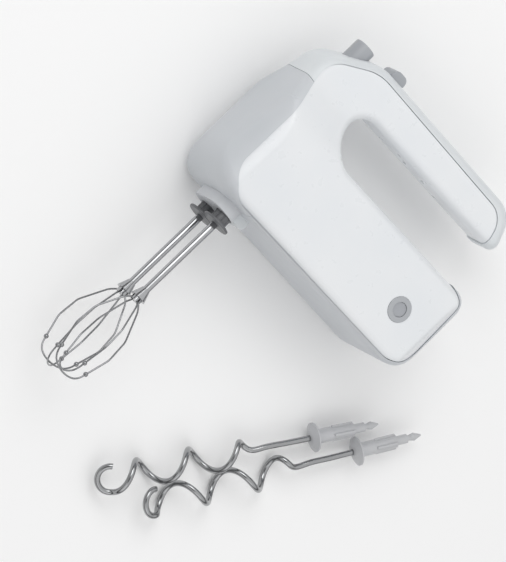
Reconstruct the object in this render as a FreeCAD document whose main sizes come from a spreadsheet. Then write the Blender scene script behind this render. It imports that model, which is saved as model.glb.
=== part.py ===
import FreeCAD, Part
import math
import os

# Hand mixer lying on its right side, with its two dough hooks on the same surface.
# X runs from the nose to the heel, Y from the whisks up to the handle, and Z is up.
# Inside this file every piece is drawn about the point midway between the two drive
# sockets, at their mouth; "lay" then lifts it so that the surface is at zero.

V = FreeCAD.Vector
os.makedirs("parts", exist_ok=True)
doc = FreeCAD.newDocument("hand_mixer")

# ---------------------------------------------------------------- driving dimensions
DIMENSIONS = {
    "lay_forward": -113.883, "lay_across": 10.672, "lay_up": 40.7, "half_width": 41.0,
    "wall": 2.2, "panel_set": 0.9, "seam_gap": 0.4, "edge_round": 9.0, "rake": 4.0,
    "handle_half": 18.5, "nose_round": 36.0, "heel_round": 30.0,
    "drive_spacing": 24.0, "spindle_outer": 5.6, "spindle_bore": 3.3,
    "spindle_low": 11.0, "spindle_high": 62.0, "gear_outer": 9.0, "gear_low": 49.0,
    "gear_thick": 10.0, "gear_teeth": 22, "worm_outer": 2.7, "worm_core": 1.9,
    "motor_height": 54.0, "shaft_radius": 3.0, "core_start": 62.0, "core_length": 34.0,
    "core_radius": 15.0, "air_gap": 0.5,
    "commutator_start": 104.0, "commutator_length": 13.0, "commutator_radius": 9.0,
    "fan_start": 138.0, "fan_thick": 9.0, "fan_radius": 21.0, "fan_blades": 11,
    "whisk_stem": 3.0, "collar_disc": 11.5, "collar_neck": 7.0, "whisk_wire": 0.7,
    "whisk_reach": 168.0, "cage_radius": 21.0, "bead_radius": 1.9,
    "eject_radius": 8.7, "slider_travel": 12.0,
    "button_radius": 5.6, "bezel_radius": 10.0,
    "hook_wire": 2.3, "hook_swing": 10.0, "hook_pitch": 43.0,
}
sheet = doc.addObject("Spreadsheet::Sheet", "Dimensions")
for row, (alias, value) in enumerate(DIMENSIONS.items(), start=1):
    sheet.set("A%d" % row, alias)
    sheet.set("B%d" % row, str(value))
    sheet.setAlias("B%d" % row, alias)
doc.recompute()


def size(alias):
    return float(sheet.get(alias))


LAY = V(size("lay_forward"), size("lay_across"), size("lay_up"))
HALF = size("drive_spacing") / 2
AXIS_Y = V(0, 1, 0)
AXIS_X = V(1, 0, 0)
AXIS_Z = V(0, 0, 1)
XY_TO_XZ = FreeCAD.Matrix(1, 0, 0, 0, 0, 0, 1, 0, 0, 1, 0, 0, 0, 0, 0, 1)
XY_TO_YZ = FreeCAD.Matrix(0, 0, 1, 0, 1, 0, 0, 0, 0, 1, 0, 0, 0, 0, 0, 1)
subparts = []


# ---------------------------------------------------------------- drawing helpers
def hidden(kind, name):
    return doc.addObject(kind, name)


def finish(obj, label):
    """Name a finished sub-part and lift it into the resting frame."""
    obj.Label = label
    obj.Placement = FreeCAD.Placement(LAY, FreeCAD.Rotation()).multiply(obj.Placement)
    subparts.append(obj)
    return obj


def feature(label, shape):
    """A sub-part whose free-form shape is worked out by this file."""
    obj = doc.addObject("Part::Feature", label)
    obj.Shape = shape
    return finish(obj, label)


def turned(direction):
    return FreeCAD.Rotation(AXIS_Z, V(*direction))


def cylinder(name, radius, length, base, direction=(0, 1, 0)):
    """A cylinder whose radius and length are expressions on the sheet."""
    obj = doc.addObject("Part::Cylinder", name)
    obj.setExpression("Radius", bound(radius))
    obj.setExpression("Height", bound(length))
    obj.Placement = FreeCAD.Placement(V(*base), turned(direction))
    return obj


def cone(name, low, high, length, base, direction=(0, 1, 0)):
    obj = doc.addObject("Part::Cone", name)
    obj.setExpression("Radius1", bound(low))
    obj.setExpression("Radius2", bound(high))
    obj.setExpression("Height", bound(length))
    obj.Placement = FreeCAD.Placement(V(*base), turned(direction))
    return obj


def block(name, extent, low):
    """A box from its extent along X, Y and Z and its lowest corner."""
    obj = doc.addObject("Part::Box", name)
    for side, value in zip(("Length", "Width", "Height"), extent):
        obj.setExpression(side, bound(value))
    obj.Placement = FreeCAD.Placement(V(*low), FreeCAD.Rotation())
    return obj


def bound(value):
    """Turn aliases in an expression into references to the sheet."""
    text = str(value)
    for alias in sorted(DIMENSIONS, key=len, reverse=True):
        text = text.replace(alias, "<<@%d>>" % list(DIMENSIONS).index(alias))
    for index, alias in enumerate(DIMENSIONS):
        text = text.replace("<<@%d>>" % index, "Dimensions." + alias)
    return text


def fuse(name, pieces):
    obj = doc.addObject("Part::MultiFuse", name)
    obj.Shapes = pieces
    return obj


def cut(name, base, tool):
    obj = doc.addObject("Part::Cut", name)
    obj.Base = base
    obj.Tool = tool
    return obj


def rounded(corners):
    """A closed outline of straight runs joined by tangent arcs, from (x, y, radius)."""
    bends = []
    count = len(corners)
    for index, (x, y, radius) in enumerate(corners):
        corner = V(x, y, 0)
        before = (V(*corners[index - 1][:2]) - corner).normalize()
        after = (V(*corners[(index + 1) % count][:2]) - corner).normalize()
        if radius == 0:
            bends.append((corner, corner, corner))
            continue
        half = before.getAngle(after) / 2
        centre = corner + (before + after).normalize() * (radius / math.sin(half))
        inward = (corner - centre).normalize() * radius
        reach = radius / math.tan(half)
        bends.append((corner + before * reach, centre + inward, corner + after * reach))
    edges = []
    for index, (start, middle, end) in enumerate(bends):
        if (start - end).Length > 1e-6:
            edges.append(Part.Arc(start, middle, end).toShape())
        following = bends[(index + 1) % count][0]
        if (following - end).Length > 1e-6:
            edges.append(Part.LineSegment(end, following).toShape())
    return Part.Wire(Part.__sortEdges__(edges))


def inset(wire, distance):
    return wire.makeOffset2D(-distance) if distance else wire


def prism(wire, low, high):
    """Stand an XY outline up along Z between two heights."""
    solid = Part.Face(wire).extrude(V(0, 0, high - low))
    solid.translate(V(0, 0, low))
    return solid


def plan_prism(corners, low, high, shrink=0.0):
    """Stand an XZ outline up along Y between two heights."""
    wire = inset(rounded(corners), shrink)
    face = Part.Face(wire).transformGeometry(XY_TO_XZ)
    solid = face.extrude(V(0, high - low, 0))
    solid.translate(V(0, low, 0))
    return solid


# ---------------------------------------------------------------- casing form
# The side view: motor housing below, column at the nose, handle above, open behind.
SIDE_VIEW = [
    (-46.2, 6.5, 30), (191, 21.7, 27), (184.5, 100, 14), (17, 88.5, 19),
    (17, 129.5, 19), (182.5, 140.6, 7), (167, 172.6, 22), (2, 164, 45), (-37.7, 137, 26),
]
# The line along which the white side panels meet the grey band.
PANEL_LINE = [
    (-33, 8.6, 26), (186, 24.6, 24), (179.5, 93.5, 12), (150, 104, 3),
    (150, 124, 3), (169.5, 137, 3), (160.5, 164.2, 18), (3, 157.5, 42), (-32.6, 134.5, 22),
]


def casing_form(depth):
    """The closed outer form of the casing, set in by a depth all round."""
    wide = size("half_width") - depth
    slim = size("handle_half") - depth
    view = prism(inset(rounded(SIDE_VIEW), depth), -wide - 5, wide + 5)
    section = rounded([
        (-2, -wide, 0), (78, -wide, 60), (122, -slim - 0.7, 50), (190, -slim + 1.5, 0),
        (190, slim - 1.5, 0), (122, slim + 0.7, 50), (78, wide, 60), (-2, wide, 0),
    ])
    face = Part.Face(section).transformGeometry(XY_TO_YZ)
    rake = math.radians(size("rake"))
    along = V(math.cos(rake), math.sin(rake), 0)
    face.translate(along * -110)
    blank = face.extrude(along * 320)
    ends = plan_prism([
        (-45, -44, size("nose_round")), (191, -44, size("heel_round")),
        (191, 44, size("heel_round")), (-45, 44, size("nose_round")),
    ], -30, 230, depth)
    form = view.common(blank).common(ends).Solids[0]
    return form.makeFillet(size("edge_round") - depth, sharp_edges(form))


def sharp_edges(solid):
    """Edges where two faces meet at more than 12 degrees."""
    found = []
    for edge in solid.Edges:
        faces = solid.ancestorsOfType(edge, Part.Face)
        if len(faces) != 2:
            continue
        point = edge.valueAt((edge.FirstParameter + edge.LastParameter) / 2)
        normals = [face.normalAt(*face.Surface.parameter(point)) for face in faces]
        if normals[0].getAngle(normals[1]) > math.radians(12):
            found.append(edge)
    return found


outer_form = casing_form(0)
panel_form = casing_form(size("panel_set"))
inner_form = casing_form(size("panel_set") + size("wall"))
half_gap = size("seam_gap") / 2
panel_inside = prism(inset(rounded(PANEL_LINE), half_gap), -60, 60)
panel_outside = prism(inset(rounded(PANEL_LINE), -half_gap), -60, 60)
band_ring = outer_form.cut(inner_form).cut(panel_outside)
panel_ring = panel_form.cut(inner_form).common(panel_inside)

# Cutters for what passes through the casing.
BEZEL_AT = (144.0, 54.0)
HEEL_LEAN = math.degrees(math.atan2(191 - 184.5, 100 - 21.7))
SOCKET_PLAN = [(-16.5, -21, 10.5), (8.8, -21, 10.5), (8.8, 21, 10.5), (-16.5, 21, 10.5)]
bezel_hole = Part.makeCylinder(size("bezel_radius") + 0.1, 120, V(*BEZEL_AT, -60))
port_hole = Part.makeCylinder(13.3, 40, V(165, size("motor_height"), 0), AXIS_X)
gland_hole = Part.makeCylinder(6.1, 30, V(172, 36, -21), AXIS_X)
eject_hole = Part.makeCylinder(size("eject_radius") + 0.35, 40, V(-12.2, 138, 0), AXIS_Y)
slider_slot = Part.makeBox(14 + size("slider_travel"), 20, 5.6, V(15, 155, -2.8))
socket_hole = plan_prism(SOCKET_PLAN, -5, 16, -0.15)


def keep(shape, corners):
    """The part of a shape inside an XY outline."""
    return shape.common(prism(rounded(corners), -60, 60))


def one_solid(shape):
    """The largest solid of a boolean result, without loose slivers."""
    return max(shape.Solids, key=lambda solid: solid.Volume)


# ---------------------------------------------------------------- casing pieces
split = half_gap / 2
for side, low, high in (("left", split, 60), ("right", -60, -split)):
    shell = panel_ring.common(Part.makeBox(300, 240, high - low, V(-70, -20, low)))
    shell = shell.cut(bezel_hole).cut(socket_hole)
    feature("side_shell_" + side, one_solid(shell))

nose = keep(band_ring, [(-60, -5, 0), (3.8, -5, 0), (3.8, 20, 0), (-20, 60, 0),
                        (-20, 110.4, 0), (-60, 118.4, 0)])
feature("nose_cover", one_solid(nose.cut(socket_hole)))
top = keep(band_ring, [(-60, 118.8, 0), (-20, 110.8, 0), (-20, 126, 0), (100, 126, 0),
                       (200, 126, 0), (200, 190, 0), (-60, 190, 0)])
feature("top_band", one_solid(top.cut(eject_hole).cut(slider_slot)))
bottom = keep(band_ring, [(4.2, -5, 0), (200, -5, 0), (200, 118, 0), (140, 118, 0),
                          (140, 60, 0), (4.2, 20, 0)])
bottom = bottom.cut(socket_hole).cut(port_hole).cut(gland_hole)
feature("bottom_band", one_solid(bottom))

cover = plan_prism(SOCKET_PLAN, 0, 15.8)
cover = cover.cut(plan_prism(SOCKET_PLAN, 2, 20, 1.8))
for z in (-HALF, HALF):
    cover = cover.cut(Part.makeCylinder(size("collar_neck") + 0.5, 8, V(0, -2, z), AXIS_Y))
feature("socket_cover", one_solid(cover))

foot = prism(rounded([(8.2, 2, 2), (19, 2.6, 3), (19, 20, 0), (8.2, 20, 0)]), -13, 13)
feature("front_foot", one_solid(foot.cut(outer_form).cut(socket_hole)))

for side, face_sign in (("left", 1), ("right", -1)):
    z = face_sign * (size("half_width") - size("panel_set"))
    ring = Part.makeCylinder(size("bezel_radius"), 5, V(0, 0, -4.4))
    ring = ring.makeFillet(0.5, [ring.Edges[0]])
    ring = ring.cut(Part.makeCylinder(size("button_radius") + 0.25, 12, V(0, 0, -8)))
    if face_sign < 0:
        ring.rotate(V(0, 0, 0), AXIS_X, 180)
    ring.translate(V(*BEZEL_AT, z))
    feature("button_bezel_" + side, ring)

# Rear accessory port: a ring coaxial with the motor, let into the heel.
port = Part.makeCylinder(13, 15, V(173.5, size("motor_height"), 0), AXIS_X)
port = port.cut(Part.makeCylinder(10, 40, V(160, size("motor_height"), 0), AXIS_X))
heel_plane = Part.makeBox(30, 90, 90, V(0, -45, -45))
heel_plane.rotate(V(0, 0, 0), AXIS_Z, HEEL_LEAN)
heel_plane.translate(V(188.2, size("motor_height"), 0))
feature("port_ring", port.cut(heel_plane))

# Bush of the mains lead's inlet, low on the heel. The lead itself isn't fitted.
gland = Part.makeCylinder(6, 17, V(174, 36, -21), AXIS_X)
gland = gland.cut(Part.makeCylinder(3.6, 40, V(160, 36, -21), AXIS_X))
feature("cord_gland", gland)

# ---------------------------------------------------------------- motor
height = size("motor_height")


def on_shaft(x):
    return (x, height, 0)


shaft = fuse("armature_shaft_solid", [
    cylinder("worm_core_blank", "worm_core", "31", on_shaft(-13), (1, 0, 0)),
    cylinder("shaft_front", "shaft_radius", "157.5", on_shaft(17), (1, 0, 0)),
])
finish(shaft, "armature_shaft")

turns = Part.makeHelix(3.2, 19.2, size("worm_core") + 0.1)
thread_section = Part.makePolygon([V(1.75, 0, -0.9), V(size("worm_outer"), 0, -0.35),
                                   V(size("worm_outer"), 0, 0.35), V(1.75, 0, 0.9),
                                   V(1.75, 0, -0.9)])
thread = Part.Wire(turns).makePipeShell([thread_section], True, True)
thread.rotate(V(0, 0, 0), AXIS_Y, 90)
thread.translate(V(-9.6, height, 0))
worm_sleeve = Part.makeCylinder(size("worm_core"), 22, V(-11, height, 0), AXIS_X)
thread_ring = thread.cut(worm_sleeve)
feature("worm_thread", one_solid(thread_ring))

core = cylinder("core_blank", "core_radius", "core_length", on_shaft(size("core_start")), (1, 0, 0))
core_bore = cylinder("core_bore", "shaft_radius", "core_length", on_shaft(size("core_start")), (1, 0, 0))
slots = [core_bore]
for index in range(12):
    angle = math.radians(index * 30)
    at = (size("core_start") - 1, height + 12.6 * math.cos(angle), 12.6 * math.sin(angle))
    slots.append(cylinder("core_slot_%d" % index, "1.7", "core_length + 2", at, (1, 0, 0)))
finish(cut("armature_core_solid", core, fuse("core_slots", slots)), "armature_core")

bars = cylinder("commutator_blank", "commutator_radius", "commutator_length",
                on_shaft(size("commutator_start")), (1, 0, 0))
bars_bore = cylinder("commutator_bore", "shaft_radius", "commutator_length",
                     on_shaft(size("commutator_start")), (1, 0, 0))
finish(cut("commutator_solid", bars, bars_bore), "commutator")

fan_hub = cylinder("fan_hub", "7", "fan_thick", on_shaft(size("fan_start")), (1, 0, 0))
fan_plate = cylinder("fan_plate", "fan_radius", "1.2", on_shaft(size("fan_start")), (1, 0, 0))
vanes = [fan_hub, fan_plate]
for index in range(int(size("fan_blades"))):
    vane = block("fan_vane_%d" % index, ("fan_thick", "fan_radius - 7", "1.2"), (0, 0, 0))
    turn = FreeCAD.Rotation(AXIS_X, index * 360.0 / size("fan_blades"))
    start = V(size("fan_start"), height, 0) + turn.multVec(V(0, 6.5, -0.6))
    vane.Placement = FreeCAD.Placement(start, turn)
    vanes.append(vane)
fan_bore = cylinder("fan_bore", "shaft_radius", "fan_thick + 2", on_shaft(size("fan_start") - 1), (1, 0, 0))
finish(cut("cooling_fan_solid", fuse("fan_wheel", vanes), fan_bore), "cooling_fan")

coupling = cylinder("coupling_blank", "5.5", "14", on_shaft(170), (1, 0, 0))
coupling_hole = cylinder("coupling_bore", "shaft_radius", "14", on_shaft(160.5), (1, 0, 0))
coupling_slot = block("coupling_slot", ("8", "2.4", "12"), (177, height - 1.2, -6))
finish(cut("rear_coupling_solid", coupling, fuse("coupling_cuts", [coupling_hole, coupling_slot])),
       "rear_coupling")

# Stator: a laminated frame round the armature, with a field coil above and below.
frame_out = rounded([(height - 25, -22, 7), (height + 25, -22, 7),
                     (height + 25, 22, 7), (height - 25, 22, 7)])
stator_face = Part.Face(frame_out).transformGeometry(XY_TO_YZ)
stator = stator_face.extrude(V(size("core_length"), 0, 0))
stator.translate(V(size("core_start"), 0, 0))
stator = stator.cut(Part.makeCylinder(size("core_radius") + size("air_gap"), 60,
                                      V(size("core_start") - 5, height, 0), AXIS_X))
coil_rooms = {}
for side, sign in (("upper", 1), ("lower", -1)):
    centre = height + sign * 19.2
    room = Part.makeBox(size("core_length") + 12, 4.4, 28,
                        V(size("core_start") - 6, centre - 2.2, -14))
    room = room.makeFillet(1.6, room.Edges)
    coil_rooms[side] = room
    wider = Part.makeBox(size("core_length") + 2, 4.8, 28.4,
                         V(size("core_start") - 1, centre - 2.4, -14.2))
    stator = stator.cut(wider)
feature("stator_core", one_solid(stator))
for side, room in coil_rooms.items():
    feature("field_coil_" + side, room)

# Bearings, each a sintered bush in its bracket.
for label, x, inner, outer in (("nose_bearing", -13, "worm_core", 4.5),
                               ("front_bearing", 22, "shaft_radius", 7.0),
                               ("rear_bearing", 124, "shaft_radius", 7.0)):
    bush = cylinder(label + "_blank", outer, 2.4 if label == "nose_bearing" else 7, on_shaft(x), (1, 0, 0))
    hole = cylinder(label + "_hole", inner + " + 0.04", 9, on_shaft(x - 1), (1, 0, 0))
    finish(cut(label + "_solid", bush, hole), label)

bulkhead = Part.makeBox(4, 110, 90, V(125, 5, -45)).common(inner_form)
bulkhead = bulkhead.cut(Part.makeCylinder(7, 20, V(118, height, 0), AXIS_X))
for y in (30, 78):
    for z in (-26, 26):
        bulkhead = bulkhead.cut(Part.makeCylinder(5, 20, V(118, y, z), AXIS_X))
feature("motor_bracket", one_solid(bulkhead))

for side, sign in (("left", 1), ("right", -1)):
    low = size("commutator_radius") + 2.2
    room_z = sign * (low + 6)
    holder = Part.makeBox(11, 10, 12, V(105, height - 5, room_z - 6))
    holder = holder.cut(Part.makeBox(7.1, 6.1, 14, V(106.95, height - 3.05, room_z - 7)))
    feature("brush_holder_" + side, holder)
    near = size("commutator_radius") + 0.3
    brush_z = near if sign > 0 else -near - 9
    brush = block("brush_%s" % side, ("7", "6", "9"), (107, height - 3, brush_z))
    finish(brush, "carbon_brush_" + side)

# ---------------------------------------------------------------- gearbox
box = Part.makeBox(44, 36, 50, V(-15, 34, -25))
box = box.makeFillet(3, [edge for edge in box.Edges if abs(edge.tangentAt(0).y) > 0.9])
box = box.cut(Part.makeBox(35, 26, 45, V(-12.4, 41, -22.5)))
for z in (-HALF, HALF):
    box = box.cut(Part.makeCylinder(size("spindle_outer") + 0.06, 60, V(0, 20, z), AXIS_Y))
box = box.cut(Part.makeCylinder(7, 20, V(21, height, 0), AXIS_X))
box = box.cut(Part.makeCylinder(4.5, 10, V(-16, height, 0), AXIS_X))
lid_plane = Part.makeBox(60, 10, 60, V(-20, 65.3, -30))
feature("gearbox_housing", one_solid(box.cut(lid_plane)))
lid = Part.makeBox(44, 3, 50, V(-15, 65.4, -25))
lid = lid.makeFillet(3, [edge for edge in lid.Edges if abs(edge.tangentAt(0).y) > 0.9])
feature("gearbox_lid", lid)


def gear_outline(teeth, outer, depth):
    """Spur outline: each tooth has a flat crest and a flat root."""
    points = []
    step = 2 * math.pi / teeth
    for tooth in range(teeth):
        for share, radius in ((-0.32, outer - depth), (-0.16, outer), (0.16, outer), (0.32, outer - depth)):
            angle = (tooth + share) * step
            points.append(V(radius * math.cos(angle), radius * math.sin(angle), 0))
    return Part.makePolygon(points + [points[0]])


for side, z in (("left", HALF), ("right", -HALF)):
    wheel = Part.Face(gear_outline(int(size("gear_teeth")), size("gear_outer"), 1.3))
    wheel = wheel.extrude(V(0, 0, size("gear_thick")))
    wheel = wheel.cut(Part.makeCylinder(size("spindle_outer"), 30, V(0, 0, -5)))
    wheel.rotate(V(0, 0, 0), AXIS_X, -90)
    wheel.translate(V(0, size("gear_low"), z))
    feature("drive_gear_" + side, wheel)
    tube = cylinder("spindle_tube_" + side, "spindle_outer", "spindle_high - spindle_low",
                    (0, size("spindle_low"), z))
    bore = cylinder("spindle_bore_" + side, "spindle_bore", "26", (0, size("spindle_low") - 1, z))
    slot = block("spindle_slot_" + side, ("14", "7", "2"), (-7, size("spindle_low") - 1, z - 1))
    finish(cut("drive_spindle_%s_solid" % side, tube, fuse("spindle_cuts_" + side, [bore, slot])),
           "drive_spindle_" + side)

# ---------------------------------------------------------------- whisks
HUB_TOP = -80.0
HUB_LOW = -92.0


def rod_along(points, radius):
    """A round wire along straight runs, each bend eased by a small arc."""
    edges = []
    start = points[0]
    for index in range(1, len(points) - 1):
        corner = points[index]
        before = (points[index - 1] - corner)
        after = (points[index + 1] - corner)
        ease = min(before.Length * 0.45, after.Length * 0.45, 2.4)
        first = corner + V(before).normalize() * ease
        last = corner + V(after).normalize() * ease
        half = before.getAngle(after) / 2
        bisector = (V(before).normalize() + V(after).normalize()).normalize()
        centre = corner + bisector * (ease / math.cos(half))
        inside = centre - bisector * (ease * math.tan(half))
        edges.append(Part.LineSegment(start, first).toShape())
        edges.append(Part.Arc(first, inside, last).toShape())
        start = last
    edges.append(Part.LineSegment(start, points[-1]).toShape())
    path = Part.Wire(edges)
    ring = Part.Wire(Part.makeCircle(radius, points[0], points[1] - points[0]))
    return path.makePipeShell([ring], True, True)


def whisk_loop(z, turn, sag):
    """One wire: out of the hub, kinked twice, in a round loop under the cage and back up."""
    wide = size("cage_radius")
    low = -size("whisk_reach") + size("whisk_wire") + sag
    leg = [(3.4, HUB_LOW + 1.5), (8.6, HUB_LOW - 3.4), (wide - 1.5, HUB_LOW - 25), (wide, HUB_LOW - 43),
           (wide - 5.2, low + 12), (wide - 6.6, low + 7), (wide - 9.8, low + 3.1), (wide - 14.8, low + 0.8)]
    points = [V(radius, y, 0) for radius, y in leg]
    points.append(V(0, low, 0))
    points += [V(-radius, y, 0) for radius, y in reversed(leg)]
    wire = rod_along(points, size("whisk_wire"))
    wire.rotate(V(0, 0, 0), AXIS_Y, turn)
    wire.translate(V(0, 0, z))
    return wire


for side, z, phase in (("left", HALF, 0.0), ("right", -HALF, 45.0)):
    stem = cylinder("stem_rod_" + side, "whisk_stem", "112", (0, HUB_TOP, z))
    tip = cone("stem_tip_" + side, "whisk_stem", "whisk_stem - 1.2", "2", (0, 32, z))
    lug = block("stem_lug_" + side, ("9.6", "4", "1.2"), (-4.8, 12.5, z - 0.6))
    finish(fuse("whisk_shaft_%s_solid" % side, [stem, tip, lug]), "whisk_shaft_" + side)

    disc = Part.makeCylinder(size("collar_disc"), 2, V(0, -9, 0), AXIS_Y)
    disc = disc.makeFillet(0.7, disc.Edges[:1] + disc.Edges[2:3])
    neck = Part.makeCylinder(size("collar_neck"), 9.6, V(0, -7, 0), AXIS_Y)
    collar = disc.fuse(neck)
    for index in range(10):
        groove = Part.makeCylinder(0.6, 5.6, V(size("collar_neck") + 0.1, -6, 0), AXIS_Y)
        groove.rotate(V(0, 0, 0), AXIS_Y, index * 36)
        collar = collar.cut(groove)
    collar = collar.cut(Part.makeCylinder(size("whisk_stem"), 30, V(0, -15, 0), AXIS_Y))
    collar.translate(V(0, 0, z))
    feature("whisk_collar_" + side, one_solid(collar))

    hub = Part.makeCone(7.6, 3.4, 12, V(0, HUB_LOW, 0), AXIS_Y)
    hub = hub.cut(Part.makeCylinder(size("whisk_stem"), 13, V(0, HUB_TOP, 0), AXIS_Y))
    cup = Part.makeCylinder(6.6, 3.4, V(0, HUB_LOW - 0.1, 0), AXIS_Y)
    hub = hub.cut(cup)
    rivet = Part.makeCylinder(4.4, 3.3, V(0, HUB_LOW, 0), AXIS_Y)
    for quarter in range(4):
        notch = Part.makeBox(4.4, 3.2, 1.8, V(1.8, HUB_LOW - 0.1, -0.9))
        notch.rotate(V(0, 0, 0), AXIS_Y, phase + quarter * 90)
        rivet = rivet.cut(notch)
    hub = hub.fuse(rivet)
    hub.translate(V(0, 0, z))
    feature("whisk_hub_" + side, one_solid(hub))

    wires = [whisk_loop(z, phase, 0), whisk_loop(z, phase + 90, 1.7)]
    feature("whisk_wires_" + side, Part.makeCompound(wires))
    beads = []
    for index in range(4):
        sag = 1.7 if index % 2 else 0
        bead = Part.makeSphere(size("bead_radius"), V(size("cage_radius") - 5.2, 0, 0))
        bead.translate(V(0, -size("whisk_reach") + size("whisk_wire") + sag + 12.4, 0))
        bead.rotate(V(0, 0, 0), AXIS_Y, phase + index * 90)
        bead.translate(V(0, 0, z))
        beads.append(bead.cut(Part.makeCompound(wires)))
    feature("whisk_beads_" + side, Part.makeCompound([one_solid(bead) for bead in beads]))

# ---------------------------------------------------------------- controls
EJECT_X = -12.2
cap = Part.makeCylinder(size("eject_radius"), 26.2, V(EJECT_X, 138.9, 0), AXIS_Y)
cap = cap.makeFillet(0.9, [cap.Edges[0]])
feature("eject_button", cap)

rod_top = block("ejector_top", ("16", "4", "10"), (-24.5, 134.9, -5))
rod_stem = block("ejector_stem", ("3", "116", "10"), (-24.5, 21.5, -5))
rod_step = block("ejector_step", ("13.3", "3", "10"), (-24.5, 21.5, -5))
rod_leg = block("ejector_leg", ("2.5", "15", "10"), (-13.7, 9, -5))
fork_plate = hidden("Part::Feature", "ejector_fork")
fork_plate.Shape = plan_prism(SOCKET_PLAN, 8, 10.5, 2.2)
fork_holes = []
for index, z in enumerate((-HALF, HALF)):
    fork_holes.append(cylinder("fork_hole_%d" % index, "spindle_outer", "6", (0, 6, z)))
ejector = cut("ejector_rod_solid", fuse("ejector_bars", [rod_top, rod_stem, rod_step, rod_leg, fork_plate]),
              fuse("fork_holes", fork_holes))
finish(ejector, "ejector_rod")

lobe = prism(rounded([(14.8, 165.1, 1), (29.5, 165.8, 1), (28.4, 173.0, 4.6), (16.4, 172.3, 4.6)]), -8, 8)
slider_stem = Part.makeBox(10, 10, 4.8, V(17, 157, -2.4))
feature("speed_slider", lobe.fuse(slider_stem).removeSplitter())
finish(block("speed_contact", ("8", "2.4", "10"), (18, 154.6, -5)), "speed_contact")

board = block("board_blank", ("70", "1.6", "24"), (14, 149, -12))
finish(board, "speed_board")

for side, sign in (("left", 1), ("right", -1)):
    face_z = sign * (size("half_width") - size("panel_set"))
    low = face_z - 9 if sign > 0 else face_z
    plunger = Part.makeCylinder(size("button_radius"), 9, V(*BEZEL_AT, low))
    dish_z = face_z + sign * 20.6
    plunger = plunger.cut(Part.makeSphere(21.4, V(*BEZEL_AT, dish_z)))
    feature("release_button_" + side, one_solid(plunger))

# The port's shutter: a plate on the sloping heel with a thumb ridge.
shutter = Part.makeBox(1.8, 26, 27, V(0.4, -13, -13.5))
ridge = prism(rounded([(2.0, -6, 0), (7.2, -5.4, 1.2), (2.6, 13, 0), (2.0, 13, 0)]), -12.5, 12.5)
shutter = shutter.fuse(ridge)
shutter.rotate(V(0, 0, 0), AXIS_Z, HEEL_LEAN)
shutter.translate(V(188.3, height, 0))
feature("port_shutter", one_solid(shutter))

# ---------------------------------------------------------------- dough hooks
# Each hook lies on its spiral: a steel rod moulded into a plastic drive stem.
HOOK_LEVEL = -size("half_width") + size("hook_swing") + size("hook_wire") + 0.3
HOOK_SHAFT = 50.0
HOOK_TURNS = 2.0


def hook_path(hand):
    """Rod centre line along +X: straight shaft, growing spiral of that hand, open end bend."""
    swing = size("hook_swing")
    pitch = size("hook_pitch")
    first_crest = HOOK_SHAFT + pitch * 0.75
    points = [V(-20, 0, 0), V(0, 0, 0), V(HOOK_SHAFT * 0.5, 0, 0), V(HOOK_SHAFT * 0.85, 0, 0)]
    steps = 12
    last = int(steps * (HOOK_TURNS + 0.75))
    for step in range(1, last + 1):
        along = HOOK_SHAFT + pitch * step / steps
        turn = 2 * math.pi * (along - first_crest) / pitch
        grow = min(1.0, step / (0.35 * steps))
        reach = swing * grow * grow * (3 - 2 * grow)
        points.append(V(along, reach * math.cos(turn), hand * reach * math.sin(turn)))
    crest = first_crest + pitch * HOOK_TURNS
    for step in range(1, 8):
        turn = 1.08 * math.pi * step / 7
        points.append(V(crest + (swing - 1) * math.sin(turn), swing * math.cos(turn),
                        hand * 3.5 * math.sin(turn)))
    return points


def lay_hook(shape, disc_at, heading):
    shape.rotate(V(0, 0, 0), AXIS_Z, heading)
    shape.translate(disc_at)
    return shape


for side, hand, at, heading in (("left", -1, V(209, -43, HOOK_LEVEL), -124.0),
                                ("right", 1, V(243, -24, HOOK_LEVEL), -121.5)):
    curve = Part.BSplineCurve()
    curve.interpolate(hook_path(hand))
    path = Part.Wire(curve.toShape())
    ring = Part.Wire(Part.makeCircle(size("hook_wire"), V(-20, 0, 0), AXIS_X))
    rod = path.makePipeShell([ring], True, False)
    feature("dough_hook_" + side, lay_hook(rod, at, heading))

    stem = Part.makeCylinder(11.2, 1.0, V(-1.0, 0, 0), AXIS_X)
    stem = stem.fuse(Part.makeCone(11.2, 5.4, 3.0, V(0, 0, 0), AXIS_X))
    for start, length, radius in ((-15, 14, 5.5), (-33, 18, 4.9), (-42, 9, 3.6), (-46, 4, 2.2)):
        stem = stem.fuse(Part.makeCylinder(radius, length, V(start, 0, 0), AXIS_X))
    stem = stem.fuse(Part.makeCone(2.4, 3.1, 3, V(-45, 0, 0), V(-1, 0, 0)))
    stem = stem.fuse(Part.makeCone(3.1, 0.7, 6, V(-48, 0, 0), V(-1, 0, 0)))
    for turn in (0, 90, 180, 270):
        key = Part.makeBox(17, 1.6, 1.6, V(-32.5, -0.8, 4.4))
        key.rotate(V(0, 0, 0), AXIS_X, turn)
        stem = stem.fuse(key)
    stem = stem.cut(Part.makeCylinder(size("hook_wire") + 0.03, 32, V(-20, 0, 0), AXIS_X))
    feature("dough_hook_stem_" + side, lay_hook(one_solid(stem), at, heading))

# ---------------------------------------------------------------- springs
spring_path = Part.makeHelix(3.0, 15, 4.2)
spring_ring = Part.Wire(Part.makeCircle(0.45, V(4.2, 0, 0), AXIS_Y))
eject_spring = Part.Wire(spring_path).makePipeShell([spring_ring], True, True)
eject_spring.rotate(V(0, 0, 0), AXIS_X, -90)
eject_spring.translate(V(EJECT_X, 119.2, 0))
feature("eject_spring", eject_spring)
shelf = Part.makeBox(12, 2, 80, V(-18, 116.6, -40))
feature("spring_shelf", shelf.common(inner_form))

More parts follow.
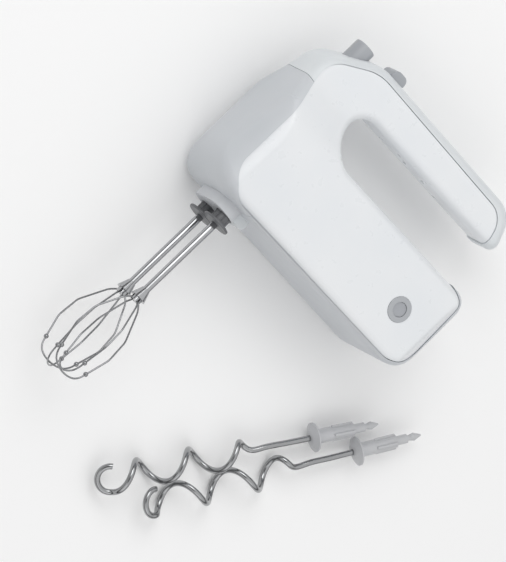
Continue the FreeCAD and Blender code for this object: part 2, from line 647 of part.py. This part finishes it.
for side, foot in (("left", 23.4), ("right", -30.4)):
    coil = Part.Wire(Part.makeHelix(1.75, 7.0, 3.2))
    coil_ring = Part.Wire(Part.makeCircle(0.4, V(3.2, 0, 0), AXIS_Y))
    spring = coil.makePipeShell([coil_ring], True, True)
    spring.translate(V(*BEZEL_AT, foot))
    feature("release_spring_" + side, spring)

doc.recompute()

problems = [obj.Name for obj in doc.Objects if "Invalid" in obj.State or "Error" in obj.State]
problems += [obj.Label for obj in subparts if obj.Shape.isNull() or not obj.Shape.isValid()]
if problems:
    raise SystemExit("failed: " + ", ".join(problems))
for obj in subparts:
    obj.Shape.exportStep("parts/%s.step" % obj.Label)
    print(obj.Label, len(obj.Shape.Solids), round(obj.Shape.Volume, 1))
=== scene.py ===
"""Electric hand mixer lying on its side, with its dough hooks beside it."""

import math

import bmesh
import bpy
from mathutils import Matrix, Vector

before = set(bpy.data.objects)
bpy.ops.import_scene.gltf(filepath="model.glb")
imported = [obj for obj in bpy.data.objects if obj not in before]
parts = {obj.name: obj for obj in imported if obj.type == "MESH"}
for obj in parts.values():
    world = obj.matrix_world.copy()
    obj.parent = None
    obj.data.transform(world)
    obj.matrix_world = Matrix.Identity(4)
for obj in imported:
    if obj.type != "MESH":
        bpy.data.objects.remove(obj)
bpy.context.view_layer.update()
MM = 0.001


# ---------------------------------------------------------------- side shells
# The two big side panels are injection-moulded ABS in a near-white, polished in the tool so they
# take a soft gloss. They snap onto the grey bands, which leaves the thin dark seam all round.
def paint(code):
    """An sRGB hex colour as the linear values that a shader takes."""
    levels = [int(code[i:i + 2], 16) / 255 for i in (1, 3, 5)]
    linear = [v / 12.92 if v <= 0.04045 else ((v + 0.055) / 1.055) ** 2.4 for v in levels]
    return (*linear, 1.0)


def add(tree, kind, feed=None, **settings):
    """One shader node. feed maps its inputs to values or to the outputs that drive them."""
    made = tree.nodes.new("ShaderNode" + kind)
    for name, value in settings.items():
        setattr(made, name, value)
    for name, value in (feed or {}).items():
        if isinstance(value, bpy.types.NodeSocket):
            tree.links.new(value, made.inputs[name])
        else:
            made.inputs[name].default_value = value
    return made


def start_finish(name):
    """An empty material with its shader, and the object coordinates that every pattern uses."""
    material = bpy.data.materials.new(name)
    material.use_nodes = True
    tree = material.node_tree
    tree.nodes.clear()
    surface = add(tree, "BsdfPrincipled")
    add(tree, "OutputMaterial", {"Surface": surface.outputs["BSDF"]})
    place = add(tree, "TexCoord").outputs["Object"]
    return material, tree, surface, place


def moulded_plastic(name, shade, roughness, grain_mm, grain_depth, flow_shade, coat=0.0, ior=1.54):
    """Moulded plastic: a fine tool grain, slow melt-flow shading and handling marks in the gloss."""
    material, tree, surface, place = start_finish(name)
    surface.inputs["IOR"].default_value = ior
    surface.inputs["Coat Weight"].default_value = coat
    surface.inputs["Coat Roughness"].default_value = 0.12
    flow = add(tree, "TexNoise", {"Vector": place, "Scale": 1 / (60 * MM), "Detail": 3.0})
    blend = add(tree, "MapRange", {"Value": flow.outputs[0], "From Min": 0.35, "From Max": 0.65})
    colour = add(tree, "MixRGB", {"Fac": blend.outputs[0], "Color1": paint(shade),
                                  "Color2": paint(flow_shade)})
    tree.links.new(colour.outputs[0], surface.inputs["Base Color"])
    marks = add(tree, "TexNoise", {"Vector": place, "Scale": 1 / (9 * MM), "Detail": 5.0})
    gloss = add(tree, "MapRange", {"Value": marks.outputs[0], "From Min": 0.3, "From Max": 0.7,
                                   "To Min": roughness - 0.04, "To Max": roughness + 0.05})
    tree.links.new(gloss.outputs[0], surface.inputs["Roughness"])
    grain = add(tree, "TexNoise", {"Vector": place, "Scale": 1 / (grain_mm * MM), "Detail": 2.0})
    relief = add(tree, "Bump", {"Height": grain.outputs[0], "Strength": grain_depth,
                                "Distance": 0.05 * MM})
    tree.links.new(relief.outputs[0], surface.inputs["Normal"])
    return material


SHARP_EDGE = math.radians(32)


def dress(material, *names):
    """Gives CAD nodes their finish, with smooth shading that keeps their real edges."""
    for name in names:
        piece = parts[name]
        piece.data.materials.clear()
        piece.data.materials.append(material)
        for face in piece.data.polygons:
            face.use_smooth = True
        weld = piece.modifiers.new("weld", "WELD")
        weld.merge_threshold = 0.002 * MM
        edges = piece.modifiers.new("edges", "EDGE_SPLIT")
        edges.split_angle = SHARP_EDGE


white_abs = moulded_plastic("gloss_white_abs", "#eceef0", 0.30, 0.9, 0.05, "#e8ebee", coat=0.25)
dress(white_abs, "side_shell_left", "side_shell_right")

# ---------------------------------------------------------------- grey bands and nose
# The bands over the handle and under the body, the nose cover and the front foot are the same ABS
# in silver-grey with a satin tool finish, so their highlights are broad and soft.
satin_grey_abs = moulded_plastic("satin_silver_grey_abs", "#d0d3d7", 0.42, 0.7, 0.12, "#ccd0d4")
dress(satin_grey_abs, "nose_cover", "bottom_band")
pale_grey_abs = moulded_plastic("satin_pale_grey_abs", "#e0e4e6", 0.42, 0.7, 0.12, "#dce0e3")
dress(pale_grey_abs, "top_band", "front_foot")

# ---------------------------------------------------------------- socket cover
# A plain cap under the nose that carries the two drive sockets. It is moulded in the same grey, a
# little duller where the whisk collars rub near it.
socket_abs = moulded_plastic("matt_light_grey_abs", "#d3d5d8", 0.50, 0.6, 0.16, "#cdd0d4")
dress(socket_abs, "socket_cover")

# ---------------------------------------------------------------- controls
# The eject button, the speed slider and the two side buttons are mid-grey ABS. Fingers keep them
# slightly polished, and each sits in a fine gap to its surround.
control_abs = moulded_plastic("mid_grey_control_abs", "#a9acb0", 0.38, 0.5, 0.14, "#a5a8ad")
dress(control_abs, "eject_button", "speed_slider", "release_button_left", "release_button_right")
bezel_abs = moulded_plastic("grey_bezel_abs", "#b2b5b8", 0.34, 0.5, 0.10, "#aeb1b5")
dress(bezel_abs, "button_bezel_left", "button_bezel_right")

# ---------------------------------------------------------------- whisks
# Each whisk is stainless steel wire, drawn and tumble-polished, set in a turned steel hub on a
# ground shaft. The collar is dark nylon, pressed onto the shaft, and its ribs are moulded in.
def polished_steel(name, shade, worn, roughness, mark_mm):
    """Bright stainless steel: fine polishing marks that only show in the reflections."""
    material, tree, surface, place = start_finish(name)
    surface.inputs["Metallic"].default_value = 1.0
    tone = add(tree, "TexNoise", {"Vector": place, "Scale": 1 / (14 * MM), "Detail": 4.0})
    warm = add(tree, "MixRGB", {"Fac": tone.outputs[0], "Color1": paint(shade),
                                "Color2": paint(worn)})
    tree.links.new(warm.outputs[0], surface.inputs["Base Color"])
    marks = add(tree, "TexNoise", {"Vector": place, "Scale": 1 / (mark_mm * MM), "Detail": 6.0})
    gloss = add(tree, "MapRange", {"Value": marks.outputs[0], "From Min": 0.3, "From Max": 0.7,
                                   "To Min": roughness, "To Max": roughness + 0.06})
    tree.links.new(gloss.outputs[0], surface.inputs["Roughness"])
    relief = add(tree, "Bump", {"Height": marks.outputs[0], "Strength": 0.05,
                                "Distance": 0.02 * MM})
    tree.links.new(relief.outputs[0], surface.inputs["Normal"])
    return material


bright_wire = polished_steel("polished_stainless_wire", "#8f9092", "#9b9c9e", 0.10, 1.2)
for side in ("left", "right"):
    dress(bright_wire, "whisk_wires_" + side, "whisk_beads_" + side)
turned_steel = polished_steel("turned_stainless_steel", "#b4b5b7", "#a9aaac", 0.12, 0.8)
for side in ("left", "right"):
    dress(turned_steel, "whisk_shaft_" + side, "whisk_hub_" + side)
dark_nylon = moulded_plastic("dark_grey_nylon", "#68696c", 0.36, 0.4, 0.10, "#636467")
dress(dark_nylon, "whisk_collar_left", "whisk_collar_right")

# ---------------------------------------------------------------- dough hooks
# The hooks are one polished steel rod each, wound into a spiral, with a light acetal stem moulded
# round the rod's top end. The stem's keys turn it in the socket.
rod_steel = polished_steel("polished_stainless_rod", "#a6a7a8", "#9a9b9d", 0.12, 1.6)
dress(rod_steel, "dough_hook_left", "dough_hook_right")
acetal_grey = moulded_plastic("light_grey_acetal", "#c4c5c7", 0.35, 0.4, 0.08, "#bfc0c3")
dress(acetal_grey, "dough_hook_stem_left", "dough_hook_stem_right")

# ---------------------------------------------------------------- rear port and cord inlet
# The accessory port has a black nylon ring behind a small grey shutter, and the mains lead enters
# through a short grey gland beside it.
black_nylon = moulded_plastic("black_glass_filled_nylon", "#2b2c2e", 0.50, 0.35, 0.25, "#303134")
dress(black_nylon, "port_ring", "rear_coupling", "cooling_fan", "motor_bracket",
      "gearbox_housing", "gearbox_lid", "brush_holder_left", "brush_holder_right",
      "spring_shelf", "ejector_rod", "speed_contact")
dress(satin_grey_abs, "port_shutter", "cord_gland")

# ---------------------------------------------------------------- drive train
# Two spindles carry injected acetal gears, and the worm between them is cut on the motor's
# ground steel shaft. Oil from the bearings leaves the steel a little darker.
natural_acetal = moulded_plastic("natural_acetal", "#dcd6c4", 0.45, 0.5, 0.10, "#d4cebb")
dress(natural_acetal, "drive_gear_left", "drive_gear_right")
ground_steel = polished_steel("ground_shaft_steel", "#a8aaad", "#989a9d", 0.24, 0.5)
dress(ground_steel, "armature_shaft", "worm_thread", "drive_spindle_left", "drive_spindle_right")

# ---------------------------------------------------------------- motor
# The stator and armature are stacks of punched steel sheet, about half a millimetre each, so their
# sides show fine lines across the stack. The windings are enamelled copper.
WAVE_PERIOD = 0.314    # what a wave texture's stripes are apart at scale 1, in metres


def laminated_steel(name, sheet_mm):
    """A stack of punched sheets: dark varnished lines at each sheet's thickness along X."""
    material, tree, surface, place = start_finish(name)
    surface.inputs["Metallic"].default_value = 0.9
    sheets = add(tree, "TexWave", {"Vector": place, "Scale": WAVE_PERIOD / (sheet_mm * MM),
                                   "Distortion": 0.0}, bands_direction="X")
    shade = add(tree, "MixRGB", {"Fac": sheets.outputs[0], "Color1": paint("#4b4c50"),
                                 "Color2": paint("#8d8f93")})
    tree.links.new(shade.outputs[0], surface.inputs["Base Color"])
    rub = add(tree, "TexNoise", {"Vector": place, "Scale": 1 / (4 * MM), "Detail": 4.0})
    gloss = add(tree, "MapRange", {"Value": rub.outputs[0], "To Min": 0.35, "To Max": 0.6})
    tree.links.new(gloss.outputs[0], surface.inputs["Roughness"])
    relief = add(tree, "Bump", {"Height": sheets.outputs[0], "Strength": 0.5,
                                "Distance": 0.1 * MM})
    tree.links.new(relief.outputs[0], surface.inputs["Normal"])
    return material


def wound_copper(name, wire_mm):
    """Enamelled wire laid side by side: rounded ridges one wire apart, with a glossy skin and
    painted shade in the grooves between the wires.
    """
    material, tree, surface, place = start_finish(name)
    surface.inputs["Metallic"].default_value = 0.85
    surface.inputs["Coat Weight"].default_value = 0.6
    turns = add(tree, "TexWave", {"Vector": place, "Scale": WAVE_PERIOD / (wire_mm * MM),
                                  "Distortion": 0.6, "Detail": 1.0}, bands_direction="Z")
    # The wave's dark band is painted shade in the grooves between the wires; its light band is the
    # copper's own colour.
    shade = add(tree, "MixRGB", {"Fac": turns.outputs[0], "Color1": paint("#6e3418"),
                                 "Color2": paint("#c06a34")})
    tree.links.new(shade.outputs[0], surface.inputs["Base Color"])
    dull = add(tree, "TexNoise", {"Vector": place, "Scale": 1 / (3 * MM), "Detail": 3.0})
    gloss = add(tree, "MapRange", {"Value": dull.outputs[0], "To Min": 0.22, "To Max": 0.42})
    tree.links.new(gloss.outputs[0], surface.inputs["Roughness"])
    relief = add(tree, "Bump", {"Height": turns.outputs[0], "Strength": 0.7,
                                "Distance": 0.2 * MM})
    tree.links.new(relief.outputs[0], surface.inputs["Normal"])
    return material


dress(laminated_steel("punched_steel_laminations", 0.5), "stator_core", "armature_core")
copper = wound_copper("enamelled_copper_wire", 0.6)
dress(copper, "field_coil_upper", "field_coil_lower", "commutator")
bronze = polished_steel("sintered_bronze", "#a07a4c", "#8d6a40", 0.40, 0.3)
dress(bronze, "nose_bearing", "front_bearing", "rear_bearing")
carbon = moulded_plastic("pressed_carbon", "#242527", 0.62, 0.3, 0.35, "#1d1e20")
dress(carbon, "carbon_brush_left", "carbon_brush_right")

# ---------------------------------------------------------------- springs and speed board
# The return springs are hard-drawn steel wire, and the speed board is green-masked fibreglass.
# Neither shows unless the casing is opened.
spring_wire = polished_steel("hard_drawn_spring_wire", "#9fa1a4", "#909295", 0.26, 0.4)
dress(spring_wire, "eject_spring", "release_spring_left", "release_spring_right")
board_mask = moulded_plastic("green_solder_mask", "#1f5136", 0.32, 0.8, 0.10, "#1b4930", coat=0.4)
dress(board_mask, "speed_board")

# ---------------------------------------------------------------- table, light and camera
# A plain white table top under a big soft ceiling light, as for a catalogue picture. The ceiling
# has a dark gap where the camera looks through, which polished steel shows as a thin dark line.
TOWARDS_CAMERA = Vector((-0.467, -0.179, 0.866)).normalized()
CAMERA_UP = Vector((-0.697, 0.677, -0.217))
CAMERA_DISTANCE = 9.0
VIEW_WIDTH = 0.413
look_at = Vector((-0.06628, -0.00613, 0.06930))

top = bmesh.new()
bmesh.ops.create_grid(top, x_segments=1, y_segments=1, size=3.0)
table_mesh = bpy.data.meshes.new("table_top")
top.to_mesh(table_mesh)
top.free()
table = bpy.data.objects.new("table_top", table_mesh)
table.location = (0, 0, -0.2 * MM)
bpy.context.scene.collection.objects.link(table)
laminate, tree, surface, place = start_finish("white_laminate")
surface.inputs["Base Color"].default_value = paint("#fbfbfb")
haze = add(tree, "TexNoise", {"Vector": place, "Scale": 1 / (80 * MM), "Detail": 2.0})
gloss = add(tree, "MapRange", {"Value": haze.outputs[0], "To Min": 0.75, "To Max": 0.85})
tree.links.new(gloss.outputs[0], surface.inputs["Roughness"])
surface.inputs["Specular IOR Level"].default_value = 0.15
table_mesh.materials.append(laminate)

world = bpy.data.worlds.new("studio")
bpy.context.scene.world = world
world.use_nodes = True
sky = world.node_tree
sky.nodes.clear()
heading = add(sky, "TexCoord").outputs["Generated"]
facing = add(sky, "VectorMath", {0: heading, 1: TOWARDS_CAMERA}, operation="DOT_PRODUCT")
gap = add(sky, "MapRange", {"Value": facing.outputs["Value"], "From Min": 0.93, "From Max": 0.975,
                            "To Min": 1.0, "To Max": 0.02})
height = add(sky, "SeparateXYZ", {0: heading})
ceiling = add(sky, "MapRange", {"Value": height.outputs["Z"], "From Min": 0.1, "From Max": 0.5,
                                "To Min": 0.05, "To Max": 0.92})
level = add(sky, "Math", {0: gap.outputs[0], 1: ceiling.outputs[0]}, operation="MULTIPLY")
glow = add(sky, "Background", {"Color": paint("#ffffff"), "Strength": level.outputs[0]})
add(sky, "OutputWorld", {"Surface": glow.outputs[0]})


def soft_box(name, where, size, power):
    """A square area light at where, in metres, aimed at the object's middle."""
    lamp = bpy.data.lights.new(name, "AREA")
    lamp.shape = "SQUARE"
    lamp.size = size
    lamp.energy = power
    holder = bpy.data.objects.new(name, lamp)
    holder.location = where
    holder.rotation_euler = (look_at - where).to_track_quat("-Z", "Y").to_euler()
    bpy.context.scene.collection.objects.link(holder)


soft_box("key", Vector((-1.3, 0.9, 1.5)), 1.3, 11)
soft_box("fill", Vector((0.8, -1.4, 1.4)), 1.6, 3)

lens = bpy.data.cameras.new("view")
holder = bpy.data.objects.new("view", lens)
right = CAMERA_UP.cross(TOWARDS_CAMERA).normalized()
up = TOWARDS_CAMERA.cross(right)
turned = Matrix((right, up, TOWARDS_CAMERA)).transposed().to_4x4()
holder.matrix_world = Matrix.Translation(look_at + TOWARDS_CAMERA * CAMERA_DISTANCE) @ turned
lens.lens = lens.sensor_width * CAMERA_DISTANCE / VIEW_WIDTH
lens.clip_end = 30
bpy.context.scene.collection.objects.link(holder)
bpy.context.scene.camera = holder
bpy.context.scene.view_settings.view_transform = "Standard"
